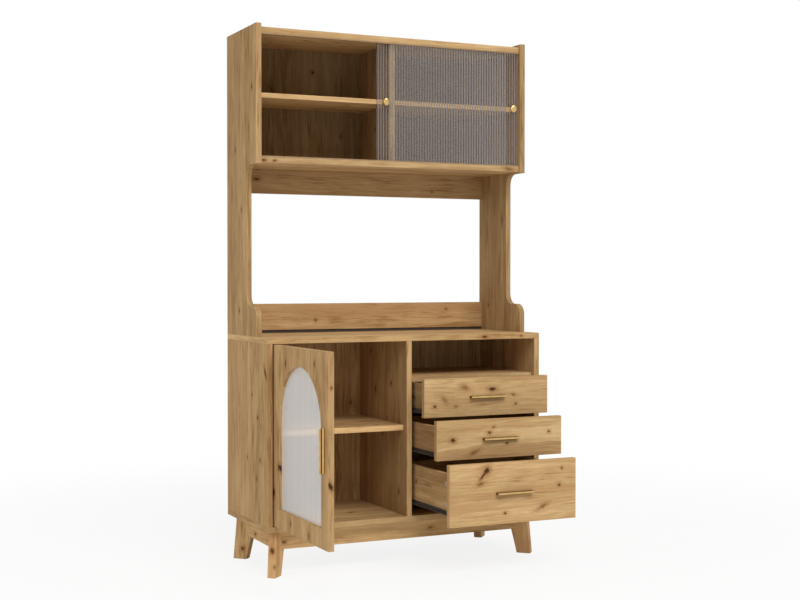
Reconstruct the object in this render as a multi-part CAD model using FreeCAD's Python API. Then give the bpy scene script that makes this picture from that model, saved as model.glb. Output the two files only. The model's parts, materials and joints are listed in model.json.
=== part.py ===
"""Kitchen buffet cabinet: a base with an arched door and drawers, and a hutch with sliding glass doors.

Millimetres. +X is to the right, +Y to the back and +Z up. The origin is on the floor, under the middle of
the base cabinet. The pieces are stored as the photograph shows them: the hinged door open, the drawers
pulled out in steps and the left glass door slid to the right.
"""
import FreeCAD, Part
import math
import os

Vector = FreeCAD.Vector

# Boards
board_thickness = 19.0
back_thickness = 4.0
back_inset = 4.0
edge_round = 0.8

# Base cabinet
base_width = 1000.0
base_depth = 400.0
base_side_height = 583.0
leg_height = 148.0
left_shelf_height = 284.0
left_shelf_setback = 25.0
niche_height = 119.0
bay_shelf_setback = 20.0

# Legs and aprons
leg_thickness = 28.0
leg_foot_width = 48.0
leg_foot_side_inset = 20.0
leg_foot_end_inset = 19.0
leg_outer_slope = 0.089
leg_inner_slope = 0.247
leg_round = 1.5
apron_height = 63.0
apron_inset = 43.0

# Hutch
hutch_height = 1014.0
hutch_depth = 300.0
post_depth = 200.0
foot_step = 99.0
foot_shoulder = 98.0
upper_side_height = 453.0
side_rise = 10.0
curve_radius = 38.0
upper_board_setback = 10.0
upper_floor_rise = 3.5
hutch_shelf_thickness = 16.0
hutch_shelf_height = 194.5
upper_rail_height = 82.5
lower_rail_height = 91.0
cable_slot = 10.0
slot_strip_setback = 4.0
slot_strip_depth = 10.0

# Sliding glass doors and their tracks
pane_thickness = 4.0
pane_overlap = 19.5
pane_play = 0.5
rib_pitch = 10.0
rib_depth = 0.8
track_height = 4.0
track_base = 1.0
track_lip = 1.2
track_middle = 8.6
left_pane_gap = 42.5
knob_width = 24.0
knob_height = 29.0
knob_neck_radius = 6.0
knob_neck = 2.5
knob_cap = 7.0
knob_round = 6.0
left_knob_inset = 34.0
right_knob_inset = 21.5

# Hinged door
door_thickness = 19.0
hinge_gap = 2.5
door_gap = 2.5
door_stile = 55.0
door_top_rail = 57.0
door_bottom_rail = 60.0
door_lip = 10.0
glass_rebate = 10.0
glass_play = 0.5
pivot_from_edge = 7.5
pivot_from_face = 5.0
pivot_radius = 2.5
pivot_play = 0.05
pivot_depth = 12.0
pivot_end_play = 1.0
pivot_plate = 14.0
pivot_plate_thickness = 1.0
clip_length = 16.0
clip_width = 12.0
clip_thickness = 2.0
door_open_angle = 90.0

# Drawers, from the top one down
drawer_front_thickness = 19.0
drawer_gap = 2.5
drawer_side_gap = 2.0
upper_front_height = 128.0
drawer_box_drops = [18.0, 19.0, 31.0]
drawer_box_rises = [15.0, 14.0, 39.0]
drawer_open = [90.0, 180.0, 270.0]
drawer_box_length = 350.0
drawer_board = 12.0
drawer_bottom = 4.0
drawer_bottom_rise = 8.0
runner_space = 13.5
runner_thickness = 1.5
runner_height = 12.5
runner_flange = 10.0
rail_play = 1.0
roller_radius = 5.0
roller_width = 8.0
roller_gap = 0.3
roller_setback = 16.0

# Handles
handle_length = 132.0
handle_height = 7.5
handle_projection = 18.0
handle_nose = 4.5
handle_foot = 4.0
groove_depth = 2.0
handle_round = 1.5

# Places that follow from the sizes
half_width = base_width / 2
front = -base_depth / 2
back = base_depth / 2
inner_half = half_width - board_thickness
base_floor = leg_height + board_thickness
base_ceiling = base_floor + base_side_height
worktop = base_ceiling + board_thickness
divider_half = board_thickness / 2
panel_front = back - back_inset - back_thickness
niche_floor = base_ceiling - niche_height
hutch_top = worktop + hutch_height
hutch_front = back - hutch_depth
post_front = back - post_depth
foot_front = post_front - foot_step
shoulder = worktop + foot_shoulder
side_underside = hutch_top - upper_side_height
upper_front = hutch_front + upper_board_setback
upper_floor_under = side_underside + upper_floor_rise
upper_floor = upper_floor_under + board_thickness
upper_roof = hutch_top - side_rise - board_thickness
track_slot = pane_thickness + 2 * pane_play
track_depth = 2 * track_lip + 2 * track_slot + track_middle
shelf_front = upper_front + track_depth
hutch_shelf_under = upper_floor + hutch_shelf_height
knob_level = hutch_shelf_under + hutch_shelf_thickness / 2
pane_width = inner_half - pane_play + pane_overlap
pane_bottom = upper_floor + track_base + pane_play
pane_top = upper_roof - track_base - pane_play
front_pane_face = upper_front + track_lip + pane_play
rear_pane_face = front_pane_face + track_slot + track_middle
door_left = -inner_half + hinge_gap
door_right = -divider_half - door_gap
door_bottom = base_floor + door_gap
door_top = base_ceiling - door_gap
pivot_x = door_left + pivot_from_edge
pivot_y = front + pivot_from_face
drawer_left = divider_half + drawer_side_gap
drawer_right = inner_half - drawer_side_gap
lower_front_height = niche_floor - base_floor - 2 * upper_front_height - 4 * drawer_gap
drawer_front_heights = [upper_front_height, upper_front_height, lower_front_height]

parts = {}


def box(x0, x1, y0, y1, z0, z1):
    """Square-edged block between two corners."""
    return Part.makeBox(x1 - x0, y1 - y0, z1 - z0, Vector(x0, y0, z0))


def rounded(shape, radius):
    """The shape with all its edges eased."""
    return shape.makeFillet(radius, shape.Edges)


def board(x0, x1, y0, y1, z0, z1):
    """Board with eased edges."""
    return rounded(box(x0, x1, y0, y1, z0, z1), edge_round)


def prism(points, sweep):
    """Straight-sided outline swept along a vector."""
    wire = Part.makePolygon(points + [points[0]])
    return Part.Face(wire).extrude(sweep)


def arc(start, middle, end):
    """Edge that is a circular arc through three points."""
    return Part.Arc(start, middle, end).toShape()


def line(start, end):
    """Edge that is a straight line."""
    return Part.makeLine(start, end)


def base_boards():
    """The base cabinet's boards, shelves and back."""
    parts["base_bottom_board"] = board(-half_width, half_width, front, back, leg_height, base_floor)
    parts["base_top_board"] = board(-half_width, half_width, front, back, base_ceiling, worktop)
    parts["base_left_side"] = board(-half_width, -inner_half, front, back, base_floor, base_ceiling)
    parts["base_right_side"] = board(inner_half, half_width, front, back, base_floor, base_ceiling)
    parts["base_divider"] = board(-divider_half, divider_half, front, panel_front, base_floor, base_ceiling)
    parts["base_back_panel"] = box(
        -inner_half, inner_half, panel_front, panel_front + back_thickness, base_floor, base_ceiling)
    shelf_under = base_floor + left_shelf_height
    parts["base_left_shelf"] = board(
        -inner_half, -divider_half, front + left_shelf_setback, panel_front,
        shelf_under, shelf_under + board_thickness)
    parts["drawer_bay_shelf"] = board(
        divider_half, inner_half, front + bay_shelf_setback, panel_front,
        niche_floor - board_thickness, niche_floor)


def leg(side, end):
    """Splayed board leg, set on the diagonal of its corner. side and end are -1 or 1 along X and Y."""
    top_outer = leg_outer_slope * leg_height
    top_inner = leg_foot_width + leg_inner_slope * leg_height
    half = leg_thickness / 2
    outline = [
        Vector(0, -half, 0),
        Vector(leg_foot_width, -half, 0),
        Vector(top_inner, -half, leg_height),
        Vector(top_outer, -half, leg_height),
    ]
    shape = rounded(prism(outline, Vector(0, leg_thickness, 0)), leg_round)
    inward = math.degrees(math.atan2(-end, -side))
    shape.rotate(Vector(0, 0, 0), Vector(0, 0, 1), inward)
    foot_x = side * (half_width - leg_foot_side_inset)
    foot_y = end * (back - leg_foot_end_inset)
    shape.translate(Vector(foot_x, foot_y, 0))
    return shape


def apron(half_length):
    """Apron along X with mitred ends, its outer face towards -Y at y = 0, under the bottom board."""
    outline = [
        Vector(-half_length, 0, leg_height - apron_height),
        Vector(half_length, 0, leg_height - apron_height),
        Vector(half_length - board_thickness, board_thickness, leg_height - apron_height),
        Vector(-half_length + board_thickness, board_thickness, leg_height - apron_height),
    ]
    return rounded(prism(outline, Vector(0, 0, apron_height)), edge_round)


def base_stand():
    """Four legs with an apron between each pair, whose mitred ends meet the legs' flat faces."""
    for side, side_name in ((-1, "left"), (1, "right")):
        for end, end_name in ((-1, "front"), (1, "rear")):
            parts["leg_%s_%s" % (end_name, side_name)] = leg(side, end)
    leg_face = apron_inset + leg_thickness / math.sqrt(2)
    stagger = leg_foot_side_inset - leg_foot_end_inset
    long_half = half_width - leg_face - stagger
    short_half = back - leg_face + stagger
    places = (
        ("front", 0, long_half, back),
        ("right", 90, short_half, half_width),
        ("rear", 180, long_half, back),
        ("left", 270, short_half, half_width),
    )
    for name, turn, half_length, across in places:
        shape = apron(half_length)
        shape.translate(Vector(0, apron_inset - across, 0))
        shape.rotate(Vector(0, 0, 0), Vector(0, 0, 1), turn)
        parts["apron_%s" % name] = shape


def hutch_side(x0):
    """Hutch side: a scrolled foot, a narrower post and a deeper upper part with a rounded inner corner."""
    r = curve_radius
    bend = r * math.sqrt(0.5)
    nose = foot_front + r
    hollow = post_front - r
    foot_bend = shoulder - r
    post_start = shoulder + r
    post_end = side_underside - r

    def at(y, z):
        return Vector(x0, y, z)

    edges = [
        line(at(back, worktop), at(foot_front, worktop)),
        line(at(foot_front, worktop), at(foot_front, foot_bend)),
        arc(at(foot_front, foot_bend), at(nose - bend, foot_bend + bend), at(nose, shoulder)),
        line(at(nose, shoulder), at(hollow, shoulder)),
        arc(at(hollow, shoulder), at(hollow + bend, post_start - bend), at(post_front, post_start)),
        line(at(post_front, post_start), at(post_front, post_end)),
        arc(at(post_front, post_end), at(hollow + bend, post_end + bend), at(hollow, side_underside)),
        line(at(hollow, side_underside), at(hutch_front, side_underside)),
        line(at(hutch_front, side_underside), at(hutch_front, hutch_top)),
        line(at(hutch_front, hutch_top), at(back, hutch_top)),
        line(at(back, hutch_top), at(back, worktop)),
    ]
    shape = Part.Face(Part.Wire(edges)).extrude(Vector(board_thickness, 0, 0))
    return rounded(shape, edge_round)


def hutch_boards():
    """The hutch's sides, boards, rails and back."""
    parts["hutch_left_side"] = hutch_side(-half_width)
    parts["hutch_right_side"] = hutch_side(inner_half)
    parts["hutch_top_board"] = board(
        -inner_half, inner_half, upper_front, back, upper_roof, upper_roof + board_thickness)
    parts["hutch_bottom_board"] = board(
        -inner_half, inner_half, upper_front, back, upper_floor_under, upper_floor)
    parts["hutch_divider"] = board(
        -divider_half, divider_half, shelf_front, panel_front, upper_floor, upper_roof)
    shelf_over = hutch_shelf_under + hutch_shelf_thickness
    parts["hutch_left_shelf"] = board(
        -inner_half, -divider_half, shelf_front, panel_front, hutch_shelf_under, shelf_over)
    parts["hutch_right_shelf"] = board(
        divider_half, inner_half, shelf_front, panel_front, hutch_shelf_under, shelf_over)
    parts["hutch_back_panel"] = box(
        -inner_half, inner_half, panel_front, panel_front + back_thickness, upper_floor, upper_roof)
    rail_front = back - board_thickness
    parts["hutch_upper_rail"] = board(
        -inner_half, inner_half, rail_front, back, upper_floor_under - upper_rail_height, upper_floor_under)
    rail_under = worktop + cable_slot
    parts["hutch_lower_rail"] = board(
        -inner_half, inner_half, rail_front, back, rail_under, rail_under + lower_rail_height)
    strip_front = rail_front + slot_strip_setback
    parts["cable_slot_strip"] = box(
        -inner_half, inner_half, strip_front, strip_front + slot_strip_depth, worktop, rail_under)


def glass_track(board_face, up):
    """Double channel on a board's face. up is 1 for the lower track and -1 for the upper one."""
    depths = [0, track_lip, track_lip + track_slot]
    depths += [track_depth - depth for depth in reversed(depths)]
    base = board_face + up * track_base
    rim = board_face + up * track_height
    outline = [Vector(-inner_half, upper_front, board_face)]
    for i in range(0, len(depths), 2):
        outline.append(Vector(-inner_half, upper_front + depths[i], base if i else rim))
        if i:
            outline.append(Vector(-inner_half, upper_front + depths[i], rim))
        outline.append(Vector(-inner_half, upper_front + depths[i + 1], rim))
        if i + 2 < len(depths):
            outline.append(Vector(-inner_half, upper_front + depths[i + 1], base))
    outline.append(Vector(-inner_half, upper_front + track_depth, board_face))
    return prism(outline, Vector(2 * inner_half, 0, 0))


def ribbed_glass(x0, width, face, z0, height, thickness):
    """Sheet of reeded glass: a row of shallow round ribs on its front face, flat behind."""
    count = max(1, round(width / rib_pitch))
    pitch = width / count
    valley = face + rib_depth
    edges = []
    for i in range(count):
        start = x0 + i * pitch
        edges.append(arc(Vector(start, valley, z0), Vector(start + pitch / 2, face, z0),
                         Vector(start + pitch, valley, z0)))
    rear = face + thickness
    x1 = x0 + width
    edges.append(line(Vector(x1, valley, z0), Vector(x1, rear, z0)))
    edges.append(line(Vector(x1, rear, z0), Vector(x0, rear, z0)))
    edges.append(line(Vector(x0, rear, z0), Vector(x0, valley, z0)))
    return Part.Face(Part.Wire(edges)).extrude(Vector(0, 0, height))


def knob():
    """Low oval knob on a round neck, standing out towards -Y from y = 0."""
    neck = Part.makeCylinder(knob_neck_radius, knob_neck, Vector(0, 0, 0), Vector(0, -1, 0))
    oval = Part.Wire(Part.Ellipse(Vector(0, 0, 0), knob_height / 2, knob_width / 2).toShape())
    cap = Part.Face(oval).extrude(Vector(0, 0, knob_cap))
    rim = [edge for edge in cap.Edges if edge.CenterOfMass.z > knob_cap * 0.9]
    cap = cap.makeFillet(knob_round, rim)
    cap.rotate(Vector(0, 0, 0), Vector(0, 0, 1), 90)
    cap.rotate(Vector(0, 0, 0), Vector(1, 0, 0), 90)
    cap.translate(Vector(0, -knob_neck, 0))
    return neck.fuse(cap).removeSplitter()


def sliding_doors():
    """Two ribbed panes in their tracks, the left one in the rear channel and slid to the right."""
    parts["glass_track_bottom"] = glass_track(upper_floor, 1)
    parts["glass_track_top"] = glass_track(upper_roof, -1)
    height = pane_top - pane_bottom
    left_edge = inner_half - left_pane_gap - pane_width
    right_edge = inner_half - pane_play
    parts["left_pane"] = ribbed_glass(
        left_edge, pane_width, rear_pane_face, pane_bottom, height, pane_thickness)
    parts["right_pane"] = ribbed_glass(
        right_edge - pane_width, pane_width, front_pane_face, pane_bottom, height, pane_thickness)
    left_knob = knob()
    left_knob.translate(Vector(left_edge + left_knob_inset, rear_pane_face, knob_level))
    parts["left_pane_knob"] = left_knob
    right_knob = knob()
    right_knob.translate(Vector(right_edge - right_knob_inset, front_pane_face, knob_level))
    parts["right_pane_knob"] = right_knob


def handle():
    """Solid bar along X, centred, standing out towards -Y from y = 0, with a finger groove above and below."""
    rise = handle_height / 2
    waist = rise - groove_depth
    face = -handle_projection
    nose = face + handle_nose
    middle = (nose - handle_foot) / 2

    def at(y, z):
        return Vector(-handle_length / 2, y, z)

    edges = [
        line(at(0, -rise), at(0, rise)),
        line(at(0, rise), at(-handle_foot, rise)),
        arc(at(-handle_foot, rise), at(middle, waist), at(nose, rise)),
        line(at(nose, rise), at(face, rise)),
        line(at(face, rise), at(face, -rise)),
        line(at(face, -rise), at(nose, -rise)),
        arc(at(nose, -rise), at(middle, -waist), at(-handle_foot, -rise)),
        line(at(-handle_foot, -rise), at(0, -rise)),
    ]
    shape = Part.Face(Part.Wire(edges)).extrude(Vector(handle_length, 0, 0))
    rim = [edge for edge in shape.Edges if edge.CenterOfMass.y < face + handle_round / 4]
    return shape.makeFillet(handle_round, rim)


def arch(margin, y0, y1):
    """Round-headed opening of the door, widened all round by a margin, swept from y0 to y1."""
    left = door_left + door_stile - margin
    right = door_right - door_stile + margin
    middle = (left + right) / 2
    radius = (right - left) / 2
    bottom = door_bottom + door_bottom_rail - margin
    spring = door_top - door_top_rail - (radius - margin)
    edges = [
        line(Vector(left, y0, spring), Vector(left, y0, bottom)),
        line(Vector(left, y0, bottom), Vector(right, y0, bottom)),
        line(Vector(right, y0, bottom), Vector(right, y0, spring)),
        arc(Vector(right, y0, spring), Vector(middle, y0, spring + radius), Vector(left, y0, spring)),
    ]
    return Part.Face(Part.Wire(edges)).extrude(Vector(0, y1 - y0, 0))


def door_leaf():
    """Door with an arched opening, a rebate for the glass behind it and a bore for each pivot."""
    rear = front + door_thickness
    shape = board(door_left, door_right, front, rear, door_bottom, door_top)
    shape = shape.cut(arch(0, front, rear))
    shape = shape.cut(arch(glass_rebate, front + door_lip, rear))
    for z, upward in ((door_bottom, 1), (door_top, -1)):
        shape = shape.cut(Part.makeCylinder(
            pivot_radius, pivot_depth, Vector(pivot_x, pivot_y, z), Vector(0, 0, upward)))
    return shape


def door_glass():
    """Ribbed sheet cut to the rebate's outline."""
    face = front + door_lip
    left = door_left + door_stile - glass_rebate
    width = door_right - door_left - 2 * (door_stile - glass_rebate)
    sheet = ribbed_glass(left, width, face, door_bottom, door_top - door_bottom, pane_thickness)
    return sheet.common(arch(glass_rebate - glass_play, face, face + pane_thickness))


def glass_clips():
    """Small plates behind the door that hold the glass in its rebate."""
    rear = front + door_thickness
    seat = front + door_lip + pane_thickness
    inner_left = door_left + door_stile - glass_rebate
    inner_right = door_right - door_stile + glass_rebate
    low = door_bottom + door_bottom_rail
    spring = door_top - door_top_rail - (door_right - door_left - 2 * door_stile) / 2
    clips = []
    for z in (low, (low + spring - clip_width) / 2, spring - clip_width):
        for x, inward in ((inner_left, 1), (inner_right, -1)):
            x0 = min(x, x + inward * clip_length)
            clips.append(box(x0, x0 + clip_length, seat, seat + clip_thickness, z, z + clip_width))
    return Part.makeCompound(clips)


def hinge_pivots():
    """Pins on small plates, one under the top board and one on the bottom board, that the door turns on."""
    half = pivot_plate / 2
    pin_radius = pivot_radius - pivot_play
    pin_length = door_gap + pivot_depth - pivot_end_play
    pivots = []
    for z, upward in ((base_floor, 1), (base_ceiling, -1)):
        levels = sorted((z, z + upward * pivot_plate_thickness))
        plate = box(pivot_x - half, pivot_x + half, front, front + pivot_plate, levels[0], levels[1])
        pin = Part.makeCylinder(pin_radius, pin_length, Vector(pivot_x, pivot_y, z), Vector(0, 0, upward))
        pivots.append(plate.fuse(pin).removeSplitter())
    return Part.makeCompound(pivots)


def hinged_door():
    """The arched door and what is fixed to it, turned open about its pivots."""
    pull = handle()
    pull.rotate(Vector(0, 0, 0), Vector(0, 1, 0), 90)
    pull.translate(Vector(door_right - door_stile / 2, front, (door_bottom + door_top) / 2))
    pieces = {
        "door_leaf": door_leaf(),
        "door_glass": door_glass(),
        "door_glass_clips": glass_clips(),
        "door_handle": pull,
    }
    for name, shape in pieces.items():
        shape.rotate(Vector(pivot_x, pivot_y, 0), Vector(0, 0, 1), -door_open_angle)
        parts[name] = shape
    parts["hinge_pivots"] = hinge_pivots()


def cabinet_rail(wall, inward, runner_under):
    """Rail fixed to a wall of the drawer bay: a web, a lower flange and a roller to carry a runner."""
    start = front + drawer_front_thickness + rail_play
    end = start + drawer_box_length
    roller_level = runner_under - roller_gap - roller_radius
    low = roller_level - roller_radius - rail_play - runner_thickness

    def slab(depth, z0, z1):
        x = sorted((wall, wall + inward * depth))
        return box(x[0], x[1], start, end, z0, z1)

    web = slab(runner_thickness, low, runner_under + runner_height)
    foot = slab(runner_thickness + roller_width, low, low + runner_thickness)
    roller = Part.makeCylinder(
        roller_radius, runner_thickness + roller_width, Vector(wall, start + roller_setback, roller_level),
        Vector(inward, 0, 0))
    return web.fuse([foot, roller]).removeSplitter()


def drawer_runner(face, inward, box_bottom, start):
    """Profile on a drawer side: an upright on its outer face, a flange under it and a lip that rolls."""
    end = start + drawer_box_length
    under = box_bottom - runner_thickness
    lip_reach = runner_space - runner_thickness - rail_play
    upright = sorted((face, face - inward * runner_thickness))
    sole = sorted((face - inward * lip_reach, face + inward * runner_flange))
    leg_part = box(upright[0], upright[1], start, end, under, under + runner_height)
    sole_part = box(sole[0], sole[1], start, end, under, box_bottom)
    return leg_part.fuse(sole_part).removeSplitter()


def drawers():
    """Three drawers, each with a front, a box of separate boards, runners and a handle."""
    rails = []
    top = niche_floor - drawer_gap
    outer_left = divider_half + runner_space
    outer_right = inner_half - runner_space
    inner_left = outer_left + drawer_board
    inner_right = outer_right - drawer_board
    start = front + drawer_front_thickness
    end = start + drawer_box_length
    for i, height in enumerate(drawer_front_heights):
        bottom = top - height
        low = bottom + drawer_box_rises[i]
        high = top - drawer_box_drops[i]
        floor = low + drawer_bottom_rise
        pull = handle()
        pull.translate(Vector((drawer_left + drawer_right) / 2, front, (bottom + top) / 2))
        pieces = {
            "front": board(drawer_left, drawer_right, front, start, bottom, top),
            "left_side": board(outer_left, inner_left, start, end, low, high),
            "right_side": board(inner_right, outer_right, start, end, low, high),
            "back": board(inner_left, inner_right, end - drawer_board, end, low, high),
            "bottom": box(inner_left, inner_right, start, end - drawer_board, floor, floor + drawer_bottom),
            "runners": Part.makeCompound([
                drawer_runner(outer_left, 1, low, start),
                drawer_runner(outer_right, -1, low, start),
            ]),
            "handle": pull,
        }
        for name, shape in pieces.items():
            shape.translate(Vector(0, -drawer_open[i], 0))
            parts["drawer_%d_%s" % (i + 1, name)] = shape
        rails.append(cabinet_rail(divider_half, 1, low - runner_thickness))
        rails.append(cabinet_rail(inner_half, -1, low - runner_thickness))
        top = bottom - drawer_gap
    parts["cabinet_rails"] = Part.makeCompound(rails)


def write_parts():
    """One file per piece, with its volume printed as a check that it is solid."""
    os.makedirs("parts", exist_ok=True)
    for name, shape in parts.items():
        shape.exportStep("parts/%s.step" % name)
        print("%-22s solids %d  volume %10.1f  valid %s" % (
            name, len(shape.Solids), shape.Volume, shape.isValid()))
    print(len(parts), "pieces")


base_boards()
base_stand()
hutch_boards()
sliding_doors()
hinged_door()
drawers()
write_parts()
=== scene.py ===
import json
import math

import bpy
import numpy as np
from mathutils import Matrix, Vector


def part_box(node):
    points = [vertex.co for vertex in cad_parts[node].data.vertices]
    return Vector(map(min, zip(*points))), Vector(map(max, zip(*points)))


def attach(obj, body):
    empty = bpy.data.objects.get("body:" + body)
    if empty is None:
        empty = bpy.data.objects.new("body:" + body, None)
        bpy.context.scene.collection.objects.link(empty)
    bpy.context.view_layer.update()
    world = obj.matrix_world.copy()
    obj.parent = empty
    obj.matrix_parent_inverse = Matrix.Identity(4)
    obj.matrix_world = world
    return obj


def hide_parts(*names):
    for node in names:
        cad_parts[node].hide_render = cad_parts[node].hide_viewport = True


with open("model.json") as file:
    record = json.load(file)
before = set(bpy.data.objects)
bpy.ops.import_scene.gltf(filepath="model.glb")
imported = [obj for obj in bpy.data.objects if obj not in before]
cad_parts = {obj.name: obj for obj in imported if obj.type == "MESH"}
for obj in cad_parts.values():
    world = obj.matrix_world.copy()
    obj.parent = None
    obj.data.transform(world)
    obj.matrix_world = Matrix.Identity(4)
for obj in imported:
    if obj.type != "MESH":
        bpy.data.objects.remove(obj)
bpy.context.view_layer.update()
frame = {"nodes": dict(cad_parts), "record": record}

# Looks of the kitchen buffet cabinet: knotty oak boards, ribbed glass, brushed gold fittings, dark runners.
# Metres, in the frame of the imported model: +X right, +Y back, +Z up, the floor at z = 0.

scene = bpy.context.scene

# Camera of the photograph
CAMERA_PLACE = (-1.9644, -4.3065, 0.9624)
CAMERA_YAW = -0.4394
CAMERA_PITCH = -0.0167
FOCAL_PIXELS = 1371.5
IMAGE_WIDTH = 800
SENSOR_WIDTH = 36.0
CAMERA_REACH = 200.0

# Light
WORLD_STRENGTH = 0.44
KEY_PLACE = (0.4, -9.6, 9.4)
KEY_AIM = (0.0, -0.2, 0.8)
KEY_SIZE = (10.0, 4.5)
KEY_POWER = 1000.0
FILL_PLACE = (-9.0, -1.6, 4.2)
FILL_AIM = (0.0, 0.0, 0.9)
FILL_SIZE = (4.0, 4.0)
FILL_POWER = 150.0
FLOOR_REACH = 40.0
FLOOR_COLOUR = (0.92, 0.915, 0.905)
FLOOR_MOTTLE = (0.93, 0.925, 0.915)
FLOOR_CLOUD = ((3.0, 3.0, 3.0), 2.0)
FLOOR_GLOW = 0.86
FLOOR_FADE = (1.2, 3.0)

# Oak colours
OAK_PALE = (0.670, 0.460, 0.228)
OAK_HONEY = (0.540, 0.348, 0.161)
OAK_BROWN = (0.345, 0.194, 0.076)
OAK_ROSE = (0.455, 0.264, 0.122)
OAK_STREAK = (0.270, 0.135, 0.048)
KNOT_WARM = (0.420, 0.222, 0.092)
KNOT_HALO = (0.270, 0.128, 0.045)
KNOT_HEART = (0.075, 0.031, 0.011)

# Layers of the oak's figure: cycles per metre along, across and through the board, detail and roughness
OAK_LAYERS = {
    "bands": ((1.3, 17.0, 6.0), 2.0, 0.5),
    "lines": ((2.8, 66.0, 20.0), 2.0, 0.55),
    "fibres": ((13.0, 210.0, 200.0), 3.0, 0.65),
    "cloud": ((9.0, 24.0, 10.0), 2.0, 0.5),
    "streaks": ((5.5, 180.0, 60.0), 1.0, 0.5),
    "pores": ((34.0, 900.0, 900.0), 1.0, 0.5),
    "blush": ((1.1, 29.0, 9.0), 2.0, 0.6),
}
TONE_SHARES = {"bands": 1.35, "lines": 0.8, "fibres": 1.5, "cloud": 0.65}
GRAIN_WANDER = ((3.5, 9.0, 3.0), 2.0)
WANDER_REACH = 0.015
BLUSH_SHARE = 0.60
PORE_SHARE = 0.35
RELIEF_SHARES = {"pores": -0.6, "fibres": 0.4}

# Ranges of a layer's noise over which a mark fades in, and the gaps that clouds leave in the streaks
BLUSH_SPAN = (0.49, 0.60)
STREAK_SPAN = (0.57, 0.66)
PORE_SPAN = (0.62, 0.74)
FEATHER_SPAN = (0.30, 0.65)
GAP_SPAN = (0.42, 0.60)
GAP_SHARES = (1.0, 0.25)

# Most of any noise lies in this range
NOISE_SPAN = (0.3, 0.7)

# Finish of the boards
OAK_ROUGHNESS = (0.52, 0.64)
OAK_GLOSS = 0.02
OAK_BUMP = 0.25
OAK_RELIEF = 0.0006

# How dark the thin streaks are on boards with upright and with level grain
UPRIGHT_STREAK = 0.65
LEVEL_STREAK = 0.32

# Each board's figure is cut from its own place in one large block of wood, this far from the last board's
BOARD_STEP = (3.71, 1.37, 0.53)

# Zones of a knot, in knot radii from its middle: how ragged the edge is, where it starts to fade and where
# it ends
HEART_ZONE = (1.1, 0.60, 1.15)
HALO_ZONE = (1.2, 0.4, 2.8)
WARM_ZONE = (3.0, 0.5, 5.0)
WARM_SHARE = 0.40
HALO_SHARES = (0.30, 0.85)
PULL_REACH = 5.0
PULL_SHARE = 0.45

# Noises in a knot, given as the oak's layers are, and how far each knot's feathers are from the next one's
KNOT_COARSE = ((90.0, 150.0, 0.0), 3.0, 0.6)
KNOT_FINE = ((260.0, 420.0, 0.0), 2.0, 0.6)
KNOT_FEATHERS = ((60.0, 420.0, 0.0), 2.0, 0.6)
FEATHER_STEP = (7.3, 5.1, 0.0)

# Ribbed glass: points on a rib, and the angle in degrees above which an edge stays crisp
RIB_PITCH = 0.010
RIB_STEPS = 12
SHARP_EDGE = 35.0
GLASS_IOR = 1.45
GLASS_GLOSS = 0.15
GLASS_CLOUD = ((9.0, 9.0, 3.0), 2.0)
GLASS_HAZE = 0.02
GLASS_CLEAR = (0.98, 0.98, 0.97)
# Tint in the rib valleys, darker than the clear glass: painted shade
GLASS_VALLEY_SHADE = (0.74, 0.73, 0.71)
GLASS_PASS = (0.95, 0.95, 0.94)
VALLEY_SPAN = (0.05, 0.50)
MILK_SURFACE = 0.7

# Two kinds of ribbed glass: depth of a rib, share of the pale veil beside the crest and on it, the stretch
# of the rib's arch (0 in the valley, 1 on the crest) over which the veil grows, and the veil's colour. On
# the hutch's panes the veil lies only along the crests, a painted highlight; on the door's glass it is
# milky glass, made paler on the crests by a painted highlight.
HUTCH_GLASS = {
    "rib_depth": 0.0008, "veil": (0.00, 1.00), "crest": (0.935, 0.975), "milk_and_highlight": (0.39, 0.338, 0.296),
}
DOOR_GLASS = {
    "rib_depth": 0.00025, "veil": (0.56, 0.78), "crest": (0.75, 1.0), "milk_and_highlight": (0.92, 0.90, 0.87),
}

# Gold
GOLD_PALE = (0.680, 0.465, 0.195)
GOLD_DEEP = (0.590, 0.385, 0.145)
# Painted shade and dark reflection in the handles' grooves and along their noses' long edges: near black on
# the drawers' handles, amber on the door's
GOLD_GROOVE_SHADE = (0.190, 0.108, 0.036)
GOLD_DOOR_GROOVE_SHADE = (0.250, 0.120, 0.032)
GOLD_ROUGHNESS = (0.20, 0.32)
GOLD_LINES = ((1800.0, 1800.0, 1800.0), 2.0, 0.6)
GOLD_CLOUD = ((40.0, 40.0, 40.0), 2.0)
GOLD_BUMP = 0.10
METAL_RELIEF = 0.0002

# A bar handle's nose: the share of the projection at which it starts, and the share of the bar's half width
# at which the painted shade on its long edges starts, with the stretches over which they fade in
NOSE_START = 0.74
NOSE_FADE = 0.08
NOSE_EDGE = 0.52
NOSE_EDGE_FADE = 0.15
GROOVE_FADE = 0.06

# Where a bar handle is painted darker, as painted shade and dark reflection: axis out of the panel, axis
# across the bar, share of the projection at which the groove starts, the groove's painted shade colour, and
# how much of that colour the nose's long edges take
DOOR_HANDLE_SHADE_ZONES = ("x", "y", 0.47, GOLD_DOOR_GROOVE_SHADE, 0.1)
DRAWER_HANDLE_SHADE_ZONES = ("y", "z", -0.5, GOLD_GROOVE_SHADE, 0.75)

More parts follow.
